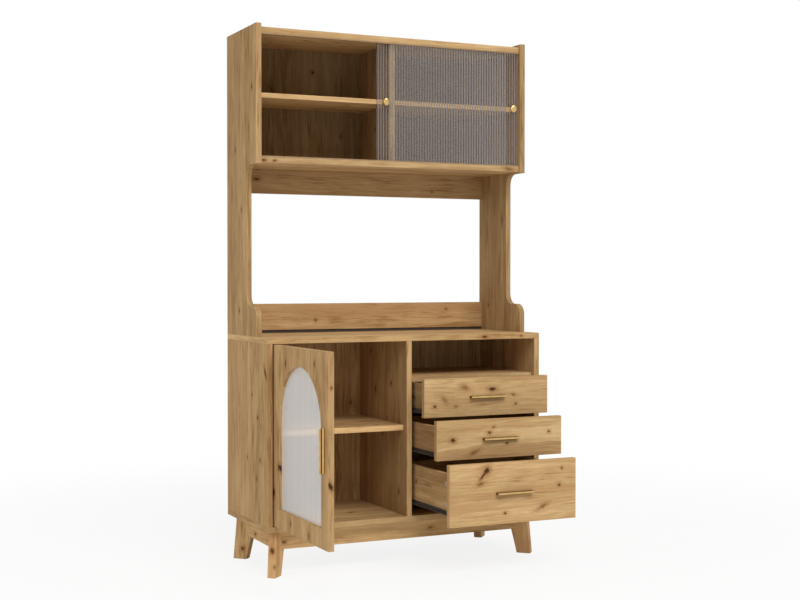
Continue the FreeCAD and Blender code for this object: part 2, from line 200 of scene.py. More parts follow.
# Coats of the other fittings by material slot: darker and paler shade, roughness, metallic share
COATS = {
    "runner_steel": ((0.050, 0.044, 0.039), (0.070, 0.062, 0.055), 0.42, 0.0),
    "pivot_steel": ((0.17, 0.14, 0.11), (0.24, 0.20, 0.16), 0.40, 1.0),
    "clip_plastic": ((0.70, 0.70, 0.68), (0.78, 0.78, 0.76), 0.45, 0.0),
    # The slot strip's near-black coat is painted shade: a dark strip that stands for the shade in its slit
    "slot_black": ((0.030, 0.023, 0.019), (0.042, 0.033, 0.028), 0.70, 0.0),
    "track_oak": ((0.300, 0.180, 0.080), (0.370, 0.228, 0.105), 0.50, 0.0),
}
CAP_COAT = ((0.48, 0.38, 0.28), (0.55, 0.44, 0.33), 0.45, 0.0)
COAT_SPREAD = 0.12
COAT_MOTTLE = ((60.0, 60.0, 60.0), 3.0)
COAT_PEEL = ((900.0, 900.0, 900.0), 1.0)
COAT_BUMP = 0.12

# On a board's long edges and sawn ends the figure is that of another stretch of wood, this far off
EDGE_SHIFT = 10.0
END_SHIFT = 20.0

# A face looks along an axis where its normal has more than this share on it
FACING = 0.8

# Cover caps on the lowest drawer's sides
CAP_PLACE = -0.423
CAP_HEIGHTS = {"upper": 0.304, "lower": 0.236}
CAP_RADIUS = 0.0085
CAP_RISE = 0.0009
CAP_GRID = 17

AXIS = {"x": 0, "y": 1, "z": 2}


def make_camera():
    """Camera at the photograph's place, level apart from a slight downward tilt."""
    data = bpy.data.cameras.new("photo_camera")
    data.sensor_width = SENSOR_WIDTH
    data.lens = FOCAL_PIXELS * SENSOR_WIDTH / IMAGE_WIDTH
    data.clip_end = CAMERA_REACH
    camera = bpy.data.objects.new("photo_camera", data)
    camera.location = CAMERA_PLACE
    camera.rotation_euler = (math.pi / 2 + CAMERA_PITCH, 0.0, CAMERA_YAW)
    scene.collection.objects.link(camera)
    scene.camera = camera


class Nodes:
    """Short hand for adding nodes to one node tree and linking them."""

    def __init__(self, tree):
        self.tree = tree

    def add(self, kind, settings=None, **inputs):
        """One node. A value that is a socket is linked, and any other is set.
        An input goes by its name or by its number, as i0, i1."""
        node = self.tree.nodes.new(kind)
        for key, value in (settings or {}).items():
            setattr(node, key, value)
        for key, value in inputs.items():
            numbered = key[0] == "i" and key[1:].isdigit()
            socket = node.inputs[int(key[1:])] if numbered else node.inputs[key.replace("_", " ")]
            self.feed(socket, value)
        return node

    def feed(self, socket, value):
        """Links or sets one input socket."""
        if isinstance(value, bpy.types.NodeSocket):
            self.tree.links.new(value, socket)
        elif isinstance(value, tuple) and socket.type == "RGBA" and len(value) == 3:
            socket.default_value = value + (1.0,)
        else:
            socket.default_value = value

    def math(self, operation, a, b=0.0, c=0.0):
        """Result of a scalar operation."""
        return self.add("ShaderNodeMath", {"operation": operation}, i0=a, i1=b, i2=c).outputs[0]

    def vector(self, operation, a, b=(0.0, 0.0, 0.0)):
        """Result of a vector operation."""
        return self.add("ShaderNodeVectorMath", {"operation": operation}, i0=a, i1=b).outputs[0]

    def noise(self, place, scale, detail=2.0, rough=0.5):
        """Noise value at a place, after scaling the place by three factors."""
        stretched = self.vector("MULTIPLY", place, scale)
        node = self.add("ShaderNodeTexNoise", Vector=stretched, Scale=1.0, Detail=detail, Roughness=rough)
        return node.outputs["Fac"]

    def swing(self, noise, reach):
        """Noise carried from the range 0..1 to -reach..reach."""
        return self.math("MULTIPLY_ADD", noise, 2.0 * reach, -reach)

    def ramp(self, value, low, high, out_low=0.0, out_high=1.0):
        """Value carried smoothly from the range low..high to out_low..out_high, and held beyond."""
        node = self.add("ShaderNodeMapRange", {"interpolation_type": "SMOOTHSTEP"})
        for socket, entry in zip(node.inputs, (value, low, high, out_low, out_high)):
            self.feed(socket, entry)
        return node.outputs[0]

    def blend_vector(self, share, a, b):
        """Vector a where share is 0 and b where it is 1."""
        node = self.add("ShaderNodeMix", {"data_type": "VECTOR"})
        self.feed(node.inputs[0], share)
        self.feed(node.inputs[4], a)
        self.feed(node.inputs[5], b)
        return node.outputs[1]

    def blend(self, share, a, b):
        """Colour a where share is 0 and b where it is 1."""
        node = self.add("ShaderNodeMix", {"data_type": "RGBA"})
        self.feed(node.inputs[0], share)
        self.feed(node.inputs[6], a)
        self.feed(node.inputs[7], b)
        return node.outputs[2]


def new_material(name):
    """Empty node material with its output, as (material, Nodes, output node)."""
    material = bpy.data.materials.new(name)
    material.use_nodes = True
    material.node_tree.nodes.clear()
    nodes = Nodes(material.node_tree)
    return material, nodes, nodes.add("ShaderNodeOutputMaterial")


def new_group(name, takes, gives):
    """Node group with the named inputs and outputs, as (group, Nodes, input node, output node)."""
    group = bpy.data.node_groups.new(name, "ShaderNodeTree")
    for label, kind in takes:
        group.interface.new_socket(label, in_out="INPUT", socket_type="NodeSocket" + kind)
    for label, kind in gives:
        group.interface.new_socket(label, in_out="OUTPUT", socket_type="NodeSocket" + kind)
    nodes = Nodes(group)
    return group, nodes, nodes.add("NodeGroupInput"), nodes.add("NodeGroupOutput")


def oak_group():
    """Plain oak figure on a place (along, across, through the board): wide bands, narrower lines, fine
    fibres and clouds are added to one tone, which picks a colour from brown over honey to pale.
    A rosy tint, thin dark streaks and short pores lie over it."""
    group, n, takes, gives = new_group(
        "oak_figure",
        [("Place", "Vector"), ("Streak", "Float")],
        [("Color", "Color"), ("Height", "Float"), ("Tone", "Float")])
    place = takes.outputs["Place"]
    drift = n.swing(n.noise(place, *GRAIN_WANDER), WANDER_REACH)
    shift = n.add("ShaderNodeCombineXYZ", Y=drift).outputs[0]
    wander = n.vector("ADD", place, shift)
    layer = {name: n.noise(wander, *values) for name, values in OAK_LAYERS.items()}
    tone = 0.5
    for name, share in TONE_SHARES.items():
        tone = n.math("MULTIPLY_ADD", n.math("SUBTRACT", layer[name], 0.5), share, tone)
    dark = n.blend(n.ramp(tone, 0.0, 0.5), OAK_BROWN, OAK_HONEY)
    plain = n.blend(n.ramp(tone, 0.5, 1.0), dark, OAK_PALE)
    tinted = n.blend(n.ramp(layer["blush"], *BLUSH_SPAN, 0.0, BLUSH_SHARE), plain, OAK_ROSE)
    thin = n.ramp(layer["streaks"], *STREAK_SPAN)
    broken = n.math("MULTIPLY", thin, n.ramp(layer["cloud"], *GAP_SPAN, *GAP_SHARES))
    streaked = n.blend(n.math("MULTIPLY", broken, takes.outputs["Streak"]), tinted, OAK_STREAK)
    pitted = n.blend(n.ramp(layer["pores"], *PORE_SPAN, 0.0, PORE_SHARE), streaked, OAK_STREAK)
    height = 0.0
    for name, share in RELIEF_SHARES.items():
        height = n.math("MULTIPLY_ADD", layer[name], share, height)
    n.feed(gives.inputs["Color"], pitted)
    n.feed(gives.inputs["Height"], height)
    n.feed(gives.inputs["Tone"], tone)
    return group


def knot_zone(n, reach, noise, zone, share):
    """share inside a zone of a knot, given as (raggedness, start, end) in knot radii, and 0 outside."""
    ragged, start, end = zone
    return n.ramp(n.math("ADD", reach, n.swing(noise, ragged)), start, end, share, 0.0)


def knot_group():
    """One knot: how far a place is inside its heart, its halo and the warm zone round it, and how far the
    grain is drawn towards it.
    The distance is an ellipse's, with its long axis turned by the lean and its edge made ragged by noise.
    The halo is broken into feathery lines along that axis."""
    group, n, takes, gives = new_group(
        "oak_knot",
        [("Place", "Vector"), ("Centre", "Vector"), ("Radius", "Float"), ("Stretch", "Float"),
         ("Lean", "Float"), ("Dark", "Float")],
        [("Heart", "Float"), ("Halo", "Float"), ("Warm", "Float"), ("Pull", "Float")])
    place, centre, radius, stretch, lean, dark = takes.outputs[:6]
    away = n.vector("SUBTRACT", place, centre)
    turn = n.add("ShaderNodeVectorRotate", {"rotation_type": "Z_AXIS"}, Vector=away, Angle=lean)
    turned = turn.outputs[0]
    parts = n.add("ShaderNodeSeparateXYZ", i0=turned)
    along = n.math("DIVIDE", parts.outputs[0], stretch)
    flat = n.add("ShaderNodeCombineXYZ", X=along, Y=parts.outputs[1]).outputs[0]
    reach = n.add("ShaderNodeVectorMath", {"operation": "LENGTH"}, i0=flat).outputs["Value"]
    reach = n.math("DIVIDE", reach, radius)
    coarse = n.noise(place, *KNOT_COARSE)
    fine = n.noise(place, *KNOT_FINE)
    apart = n.vector("MULTIPLY", centre, FEATHER_STEP)
    feathers = n.noise(n.vector("ADD", turned, apart), *KNOT_FEATHERS)
    heart = knot_zone(n, reach, fine, HEART_ZONE, 1.0)
    halo = knot_zone(n, reach, coarse, HALO_ZONE, 1.0)
    warm = knot_zone(n, reach, coarse, WARM_ZONE, WARM_SHARE)
    pull = n.ramp(reach, 0.0, PULL_REACH, -PULL_SHARE, 0.0)
    across = n.add("ShaderNodeSeparateXYZ", i0=away).outputs[1]
    n.feed(gives.inputs["Heart"], n.math("MULTIPLY", heart, dark))
    n.feed(gives.inputs["Halo"], n.math("MULTIPLY", halo, n.ramp(feathers, *FEATHER_SPAN, *HALO_SHARES)))
    n.feed(gives.inputs["Warm"], warm)
    n.feed(gives.inputs["Pull"], n.math("MULTIPLY", across, pull))
    return group


OAK_FIGURE = oak_group()
OAK_KNOT = knot_group()


def board_place(n, grain, across):
    """Place on a board as (along the figure, across it, depth), and 1 on its long edges, 0 elsewhere.
    On the faces the figure runs along the grain. The long edges and the sawn ends are banded: their figure
    runs along them, from other stretches of wood."""
    coordinates = n.add("ShaderNodeTexCoord")
    local = n.add("ShaderNodeSeparateXYZ", i0=coordinates.outputs["Object"]).outputs
    facing = n.add("ShaderNodeSeparateXYZ", i0=n.vector("ABSOLUTE", coordinates.outputs["Normal"])).outputs
    along, beside = AXIS[grain], AXIS[across]
    through = 3 - along - beside
    face = n.add("ShaderNodeCombineXYZ", X=local[along], Y=local[beside], Z=local[through]).outputs[0]
    edge_across = n.math("ADD", local[through], EDGE_SHIFT)
    edge = n.add("ShaderNodeCombineXYZ", X=local[along], Y=edge_across, Z=local[beside]).outputs[0]
    end_across = n.math("ADD", local[through], END_SHIFT)
    end = n.add("ShaderNodeCombineXYZ", X=local[beside], Y=end_across, Z=local[along]).outputs[0]
    on_edge = n.math("GREATER_THAN", facing[beside], FACING)
    on_end = n.math("GREATER_THAN", facing[along], FACING)
    banded = n.blend_vector(on_edge, face, edge)
    return n.blend_vector(on_end, banded, end), on_edge


def rear_share(n):
    """1 on faces that look to the back of the cabinet, 0 on all others."""
    normal = n.add("ShaderNodeTexCoord").outputs["Normal"]
    return n.math("GREATER_THAN", n.add("ShaderNodeSeparateXYZ", i0=normal).outputs[1], FACING)


def oak_material(name, grain, across, knots, seed, tone, edge_tone_and_light, rear_tone):
    """Oak for one board: the figure runs along the grain axis, drawn round the knots given as
    (place along, place across, radius, stretch, lean, darkness). tone multiplies the colour, and
    edge_tone_and_light does so again on the long edges; both hold painted shade and light besides the
    board's own tone. A rear_tone above 0 takes tone's place on the rear face."""
    material, n, output = new_material("oak_" + name)
    place, edge_share = board_place(n, grain, across)
    pull, heart, halo, warm = 0.0, 0.0, 0.0, 0.0
    for along, beside, radius, stretch, lean, dark in knots:
        knot = n.add(
            "ShaderNodeGroup", {"node_tree": OAK_KNOT}, Place=place, Centre=(along, beside, 0.0),
            Radius=radius, Stretch=stretch, Lean=lean, Dark=dark)
        pull = n.math("ADD", knot.outputs["Pull"], pull)
        heart = n.math("MAXIMUM", knot.outputs["Heart"], heart)
        halo = n.math("MAXIMUM", knot.outputs["Halo"], halo)
        warm = n.math("MAXIMUM", knot.outputs["Warm"], warm)
    offset = n.add("ShaderNodeCombineXYZ", Y=pull).outputs[0]
    own_place = tuple(seed * step for step in BOARD_STEP)
    figured = n.vector("ADD", n.vector("ADD", place, offset), own_place)
    streak = UPRIGHT_STREAK if grain == "z" else LEVEL_STREAK
    oak = n.add("ShaderNodeGroup", {"node_tree": OAK_FIGURE}, Place=figured, Streak=streak)
    colour = n.blend(warm, oak.outputs["Color"], KNOT_WARM)
    colour = n.blend(halo, colour, KNOT_HALO)
    colour = n.blend(heart, colour, KNOT_HEART)
    # Painted shade and light: the board's tone and its edges' gain darken or lighten the colour where shade
    # or light falls
    level = n.math("MULTIPLY_ADD", edge_share, tone * (edge_tone_and_light - 1.0), tone)
    if rear_tone:
        level = n.ramp(rear_share(n), 0.0, 1.0, level, rear_tone)
    shade = n.add("ShaderNodeVectorMath", {"operation": "SCALE"}, i0=colour, Scale=level).outputs[0]
    rough = n.ramp(oak.outputs["Tone"], 0.2, 0.8, *OAK_ROUGHNESS)
    bump = n.add("ShaderNodeBump", Strength=OAK_BUMP, Distance=OAK_RELIEF, Height=oak.outputs["Height"])
    shader = n.add("ShaderNodeBsdfPrincipled", Base_Color=shade, Roughness=rough, Normal=bump.outputs[0])
    shader.inputs["Specular IOR Level"].default_value = OAK_GLOSS
    n.feed(output.inputs["Surface"], shader.outputs[0])
    return material


def brushed_gold(name, shade_zones=None):
    """Gold-coloured metal with fine brush lines that break up the gloss. shade_zones says where the bar
    handle of that name is painted darker, as painted shade and dark reflection: in its grooves and along
    its nose's long edges."""
    material, n, output = new_material("gold_" + name)
    place = n.add("ShaderNodeTexCoord").outputs["Object"]
    lines = n.noise(place, *GOLD_LINES)
    cloud = n.noise(place, *GOLD_CLOUD)
    colour = n.blend(n.ramp(cloud, *NOISE_SPAN), GOLD_DEEP, GOLD_PALE)
    if shade_zones:
        low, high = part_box(name)
        out, across = AXIS[shade_zones[0]], AXIS[shade_zones[1]]
        groove_start, groove_shade_colour, edge_share = shade_zones[2:]
        local = n.add("ShaderNodeSeparateXYZ", i0=place).outputs
        depth = n.math("DIVIDE", n.math("SUBTRACT", high[out], local[out]), high[out] - low[out])
        beside = n.math("SUBTRACT", local[across], (low[across] + high[across]) / 2)
        beside = n.math("DIVIDE", n.math("ABSOLUTE", beside), (high[across] - low[across]) / 2)
        edge = n.ramp(beside, NOSE_EDGE, NOSE_EDGE + NOSE_EDGE_FADE, 0.0, edge_share)
        behind_nose = n.ramp(depth, NOSE_START - NOSE_FADE, NOSE_START, 1.0, 0.0)
        before_foot = n.ramp(depth, groove_start - GROOVE_FADE, groove_start + GROOVE_FADE)
        groove = n.math("MULTIPLY", behind_nose, before_foot)
        # Painted shade and dark reflection: the groove and the nose's long edges take the darker colour
        colour = n.blend(n.math("MAXIMUM", edge, groove), colour, groove_shade_colour)
    bump = n.add("ShaderNodeBump", Strength=GOLD_BUMP, Distance=METAL_RELIEF, Height=lines)
    rough = n.ramp(lines, *NOISE_SPAN, *GOLD_ROUGHNESS)
    shader = n.add("ShaderNodeBsdfPrincipled", Base_Color=colour, Roughness=rough, Normal=bump.outputs[0])
    shader.inputs["Metallic"].default_value = 1.0
    n.feed(output.inputs["Surface"], shader.outputs[0])
    return material


def coat_material(name, dark, light, rough, metallic):
    """Coated metal or moulded plastic: a faint mottle of two shades and a fine orange-peel bump."""
    material, n, output = new_material("coat_" + name)
    place = n.add("ShaderNodeTexCoord").outputs["Object"]
    mottle = n.noise(place, *COAT_MOTTLE)
    peel = n.noise(place, *COAT_PEEL)
    spread = n.ramp(mottle, *NOISE_SPAN)
    bump = n.add("ShaderNodeBump", Strength=COAT_BUMP, Distance=METAL_RELIEF, Height=peel)
    shader = n.add(
        "ShaderNodeBsdfPrincipled", Base_Color=n.blend(spread, dark, light),
        Roughness=n.math("MULTIPLY_ADD", spread, COAT_SPREAD, rough), Normal=bump.outputs[0])
    shader.inputs["Metallic"].default_value = metallic
    n.feed(output.inputs["Surface"], shader.outputs[0])
    return material


def ribbed_glass_material(name, axis, low, high, glass):
    """Pressed glass: clear, with a darker tint in the valleys between the ribs that is painted shade, and a
    pale veil on the outer face that is strongest along the crest of each rib, where it is a painted
    highlight.
    Ribs follow each other along axis from the low corner on, and the outer face lies before the middle of
    the sheet. Rays that carry light to what is behind pass straight through."""
    material, n, output = new_material(name)
    across = AXIS[axis]
    normal = 1 - across
    place = n.add("ShaderNodeTexCoord").outputs["Object"]
    local = n.add("ShaderNodeSeparateXYZ", i0=place).outputs
    haze = n.noise(place, *GLASS_CLOUD)
    phase = n.math("FRACT", n.math("DIVIDE", n.math("SUBTRACT", local[across], low[across]), RIB_PITCH))
    arch = n.math("SINE", n.math("MULTIPLY", phase, math.pi))
    outer = n.math("LESS_THAN", local[normal], (low[normal] + high[normal]) / 2)
    # Painted highlight: the pale veil along the crests
    veil = n.math("MULTIPLY", outer, n.ramp(arch, *glass["crest"], *glass["veil"]))
    # Painted shade: the darker tint in the valleys
    tint = n.blend(n.ramp(arch, *VALLEY_SPAN), GLASS_VALLEY_SHADE, GLASS_CLEAR)
    rough = n.ramp(haze, *NOISE_SPAN, 0.0, GLASS_HAZE)
    body = n.add("ShaderNodeBsdfPrincipled", Base_Color=tint, Roughness=rough)
    body.inputs["Transmission Weight"].default_value = 1.0
    body.inputs["IOR"].default_value = GLASS_IOR
    body.inputs["Specular IOR Level"].default_value = GLASS_GLOSS
    straight = n.add("ShaderNodeBsdfTransparent", Color=GLASS_PASS)
    path = n.add("ShaderNodeLightPath")
    carrying = n.math("MAXIMUM", path.outputs["Is Shadow Ray"], path.outputs["Is Diffuse Ray"])
    clear = n.add("ShaderNodeMixShader", i0=carrying, i1=body.outputs[0], i2=straight.outputs[0])
    scatter = n.add("ShaderNodeBsdfTranslucent", Color=glass["milk_and_highlight"])
    surface = n.add("ShaderNodeBsdfDiffuse", Color=glass["milk_and_highlight"])
    milk_and_highlight = n.add("ShaderNodeMixShader", i0=MILK_SURFACE, i1=scatter.outputs[0], i2=surface.outputs[0])
    mix = n.add("ShaderNodeMixShader", i0=veil, i1=clear.outputs[0], i2=milk_and_highlight.outputs[0])
    n.feed(output.inputs["Surface"], mix.outputs[0])
    return material


def seen_directly(n):
    """1 for rays that the camera sends, straight or by way of gloss or glass, and 0 for rays that carry
    light."""
    path = n.add("ShaderNodeLightPath")
    seen = n.math("MAXIMUM", path.outputs["Is Camera Ray"], path.outputs["Is Glossy Ray"])
    return n.math("MAXIMUM", seen, path.outputs["Is Transmission Ray"])


def make_world():
    """Even white surroundings, white to the eye and softer as a light."""
    world = bpy.data.worlds.new("studio")
    scene.world = world
    world.use_nodes = True
    world.node_tree.nodes.clear()
    n = Nodes(world.node_tree)
    strength = n.ramp(seen_directly(n), 0.0, 1.0, WORLD_STRENGTH, 1.0)
    light = n.add("ShaderNodeBackground", Color=(1.0, 1.0, 1.0), Strength=strength)
    n.add("ShaderNodeOutputWorld", Surface=light.outputs[0])


def make_lamp(name, place, aim, size, power):
    """Soft oblong lamp (width, height) at a place, turned towards a point."""
    data = bpy.data.lights.new(name, "AREA")
    data.shape = "RECTANGLE"
    data.size, data.size_y = size
    data.energy = power
    lamp = bpy.data.objects.new(name, data)
    lamp.location = place
    direction = np.subtract(aim, place)
    flat = math.hypot(direction[0], direction[1])
    lamp.rotation_euler = (math.atan2(flat, -direction[2]), 0.0, math.atan2(-direction[0], direction[1]))
    scene.collection.objects.link(lamp)


def make_floor():
    """Wide pale floor that keeps the cabinet's soft shadow and fades into the white surroundings."""
    corners = np.array([(-1, -1, 0), (1, -1, 0), (1, 1, 0), (-1, 1, 0)], float) * FLOOR_REACH
    mesh = bpy.data.meshes.new("studio_floor")
    mesh.from_pydata(corners.tolist(), [], [(0, 1, 2, 3)])
    floor = bpy.data.objects.new("studio_floor", mesh)
    scene.collection.objects.link(floor)
    material, n, output = new_material("studio_floor")
    place = n.add("ShaderNodeTexCoord").outputs["Object"]
    mottle = n.noise(place, *FLOOR_CLOUD)
    colour = n.blend(mottle, FLOOR_COLOUR, FLOOR_MOTTLE)
    reach = n.add("ShaderNodeVectorMath", {"operation": "LENGTH"}, i0=place).outputs["Value"]
    share = n.ramp(reach, *FLOOR_FADE, FLOOR_GLOW, 1.0)
    matt = n.add("ShaderNodeBsdfDiffuse", Color=colour)
    glow = n.add("ShaderNodeEmission", Color=(1.0, 1.0, 1.0), Strength=1.0)
    white = n.math("MULTIPLY", seen_directly(n), share)
    mix = n.add("ShaderNodeMixShader", i0=white, i1=matt.outputs[0], i2=glow.outputs[0])
    n.feed(output.inputs["Surface"], mix.outputs[0])
    mesh.materials.append(material)


def grid_mesh(name, points, wrap=False, caps=False):
    """Mesh object from an array of points (rows, columns, 3): each four neighbours make a face.
    wrap joins the last column to the first, and caps closes the first and the last row with a face each."""
    rows, columns = points.shape[:2]
    index = np.arange(rows * columns).reshape(rows, columns)
    right = np.roll(index, -1, axis=1)
    width = columns if wrap else columns - 1
    corners = [index[:-1, :width], right[:-1, :width], right[1:, :width], index[1:, :width]]
    faces = np.stack(corners, axis=-1).reshape(-1, 4).tolist()
    if caps:
        faces += [index[0, ::-1].tolist(), index[-1].tolist()]
    mesh = bpy.data.meshes.new(name)
    mesh.from_pydata(points.reshape(-1, 3).tolist(), [], faces)
    piece = bpy.data.objects.new(name, mesh)
    scene.collection.objects.link(piece)
    return piece


def smooth_by_angle(piece, degrees):
    """Smooth shading, with edges sharper than the angle kept crisp."""
    piece.data.shade_smooth()
    piece.data.set_sharp_from_angle(angle=math.radians(degrees))


def paint(piece, material):
    """One material on the whole piece."""
    piece.data.materials.clear()
    piece.data.materials.append(material)


# Knots given one by one, where the photograph shows them and on a few hidden stretches. Metres and radians:
# (along the grain, across it, radius, stretch, lean, darkness). A pale one is only a smudge.
KNOTS = {
    "drawer_1_front": [
        (0.265, 0.588, 0.0058, 2.4, 0.0, 1.0), (0.050, 0.537, 0.0043, 1.2, 0.0, 0.9),
        (0.355, 0.536, 0.0032, 1.2, 0.0, 0.7), (0.345, 0.567, 0.0030, 2.0, 0.4, 0.4),
        (0.160, 0.597, 0.0055, 2.0, 0.3, 0.25), (0.086, 0.557, 0.0050, 2.0, 0.8, 0.15),
        (0.128, 0.535, 0.0030, 1.6, 0.0, 0.3)],
    "drawer_2_front": [
        (0.070, 0.435, 0.0062, 1.3, 0.2, 1.0), (0.205, 0.454, 0.0046, 1.3, 0.0, 0.8),
        (0.270, 0.416, 0.0032, 1.3, 0.0, 0.6), (0.430, 0.448, 0.0034, 1.2, 0.0, 0.8),
        (0.148, 0.392, 0.0050, 3.2, -0.4, 0.35), (0.220, 0.472, 0.0030, 1.4, 0.0, 0.4)],
    "drawer_3_front": [
        (0.145, 0.344, 0.0095, 1.2, -0.8, 1.0), (0.132, 0.329, 0.0042, 4.2, -0.9, 0.9),
        (0.123, 0.303, 0.0050, 2.2, -0.2, 0.5), (0.425, 0.337, 0.0034, 1.2, 0.0, 0.7),
        (0.415, 0.282, 0.0042, 1.2, 0.0, 0.8), (0.213, 0.203, 0.0040, 1.1, 0.0, 0.8),
        (0.352, 0.216, 0.0050, 3.0, -0.4, 0.4)],
    "base_left_side": [
        (0.655, -0.186, 0.0056, 3.4, -0.55, 1.0), (0.579, -0.057, 0.0040, 1.3, 0.0, 0.7),
        (0.509, -0.111, 0.0052, 1.3, 0.0, 0.9), (0.441, -0.064, 0.0040, 5.0, 0.0, 0.15),
        (0.373, -0.134, 0.0045, 1.5, 0.0, 0.8), (0.310, -0.098, 0.0045, 1.8, 0.0, 0.4),
        (0.369, -0.010, 0.0038, 1.5, 0.0, 0.6)],
    "door_leaf": [
        (0.694, -0.305, 0.0055, 2.4, 0.0, 0.8), (0.706, -0.547, 0.0046, 1.8, 0.1, 0.7),
        (0.362, -0.245, 0.0105, 1.2, 0.5, 1.0), (0.278, -0.198, 0.0080, 1.5, 0.0, 1.0),
        (0.202, -0.345, 0.0050, 1.6, 0.0, 0.5), (0.190, -0.500, 0.0050, 2.0, 0.0, 0.5),
        (0.359, EDGE_SHIFT - 0.469, 0.0068, 2.2, 0.5, 1.0),
        (0.643, EDGE_SHIFT - 0.466, 0.0030, 1.6, 0.0, 0.6)],
    "base_top_board": [
        (0.285, EDGE_SHIFT + 0.759, 0.0042, 2.6, 0.0, 0.9),
        (0.428, EDGE_SHIFT + 0.760, 0.0030, 2.0, 0.0, 0.5),
        (-0.210, -0.090, 0.0045, 1.8, 0.2, 0.5), (-0.380, 0.060, 0.0040, 1.4, 0.0, 0.7)],
    "hutch_left_side": [
        (1.582, -0.057, 0.0046, 2.0, 0.0, 0.8), (0.850, 0.072, 0.0040, 1.4, 0.0, 0.9),
        (1.186, 0.048, 0.0038, 2.0, 0.0, 0.5), (1.390, 0.110, 0.0045, 1.6, 0.0, 0.5)],
    "hutch_right_side": [
        (1.169, 0.029, 0.0042, 3.0, 0.0, 0.25), (1.620, 0.040, 0.0040, 1.6, 0.0, 0.6),
        (1.420, -0.040, 0.0036, 1.8, 0.0, 0.5), (0.860, 0.130, 0.0036, 1.5, 0.0, 0.5)],
    "hutch_bottom_board": [
        (-0.470, EDGE_SHIFT + 1.342, 0.0036, 2.2, 0.0, 0.8),
        (-0.433, EDGE_SHIFT + 1.341, 0.0032, 1.8, 0.0, 0.7),
        (0.440, EDGE_SHIFT + 1.343, 0.0050, 2.2, 0.2, 0.3), (-0.180, 0.020, 0.0045, 1.8, 0.2, 0.6)],
    "leg_front_left": [(0.087, -0.474, 0.0058, 1.8, 0.0, 0.9), (0.036, -0.470, 0.0030, 1.5, 0.0, 0.4)],
    "leg_rear_left": [(0.036, -0.465, 0.0045, 1.6, 0.0, 0.7), (0.110, -0.440, 0.0035, 1.6, 0.0, 0.4)],
    "apron_left": [(0.038, 0.103, 0.0045, 1.8, 0.0, 0.8)],
    "apron_front": [(-0.427, 0.108, 0.0040, 1.8, 0.0, 0.7), (0.100, 0.115, 0.0036, 2.0, 0.0, 0.6)],
}

# On the other boards: square metres of board to a knot, the most knots on a board, and the ranges that they
# are drawn from, with places as shares of the board
KNOT_AREA = 0.034
MOST_KNOTS = 7
KNOT_RANGES = {
    "along": (0.06, 0.94), "beside": (0.10, 0.90), "radius": (0.0026, 0.0048),
    "stretch": (1.0, 2.6), "lean": (-0.5, 0.5), "dark": (0.2, 1.0),
}


def scattered_knots(low, high, grain, across, seed):
    """A few small knots at seeded random places on a board, as KNOTS gives them."""
    rng = np.random.RandomState(seed)
    length = high[AXIS[grain]] - low[AXIS[grain]]
    width = high[AXIS[across]] - low[AXIS[across]]
    count = min(MOST_KNOTS, int(round(length * width / KNOT_AREA)))
    knots = {name: rng.uniform(*span, count) for name, span in KNOT_RANGES.items()}
    knots["along"] = low[AXIS[grain]] + knots["along"] * length
    knots["beside"] = low[AXIS[across]] + knots["beside"] * width
    return np.stack(list(knots.values()), axis=1).tolist()


# Boards with upright grain: the axis of the grain and the axis across it
UPRIGHT = {
    "base_left_side": "zy", "base_right_side": "zy", "base_divider": "zy", "base_back_panel": "zx",
    "hutch_left_side": "zy", "hutch_right_side": "zy", "hutch_divider": "zy", "hutch_back_panel": "zx",
    "door_leaf": "zy",
}


def grain_of(node):
    """Grain axis and cross axis of a board: upright on sides, backs, legs and door, level on the rest."""
    if node in UPRIGHT:
        return UPRIGHT[node]
    if node.startswith("leg"):
        return "zx"
    if node in ("apron_left", "apron_right") or node.endswith(("_left_side", "_right_side")):
        return "yz"
    if node.endswith(("top_board", "bottom_board", "shelf", "_bottom")):
        return "xy"
    return "xz"


# Tone of each kind of board, boards that differ from their kind, banded edges that differ from their faces,
# and the rear of the back panels. The tones of single boards and edges are partly their own tone and partly
# painted shade and light: darker on the hutch's back, divider and sides, the base's divider face and the
# highest drawer's side, where shade falls, and lighter on the legs, the lower drawers' sides and the edges
# of shelves and dividers, where light falls. The rear of the back panels has none of this painted shade.
WOOD_TONES = {"oak_board": 1.0, "back_panel": 0.80, "drawer_box": 0.78, "drawer_base": 0.85}
BOARD_TONES_AND_SHADE = {
    "base_back_panel": 1.22, "base_bottom_board": 0.94, "base_divider": 0.84, "base_left_side": 0.94,
    "base_top_board": 1.05, "door_leaf": 0.95, "apron_left": 1.16, "apron_front": 1.18,
    "leg_front_left": 1.33, "leg_front_right": 1.36, "leg_rear_left": 1.10, "leg_rear_right": 1.10,
    "drawer_1_left_side": 0.74, "drawer_2_left_side": 1.17, "drawer_3_left_side": 1.25,
    "drawer_3_front": 1.06,
    "hutch_back_panel": 0.56, "hutch_bottom_board": 0.98, "hutch_divider": 0.57, "hutch_left_side": 0.84,
    "hutch_right_side": 0.74, "hutch_upper_rail": 0.82,
}
EDGE_TONES_AND_LIGHT = {
    "base_divider": 1.25, "base_left_shelf": 1.36, "hutch_bottom_board": 0.86, "hutch_divider": 1.70,
    "hutch_left_shelf": 1.10, "hutch_right_shelf": 1.40, "hutch_left_side": 1.03, "base_bottom_board": 0.93,
}
PANEL_REAR_TONE = 0.95


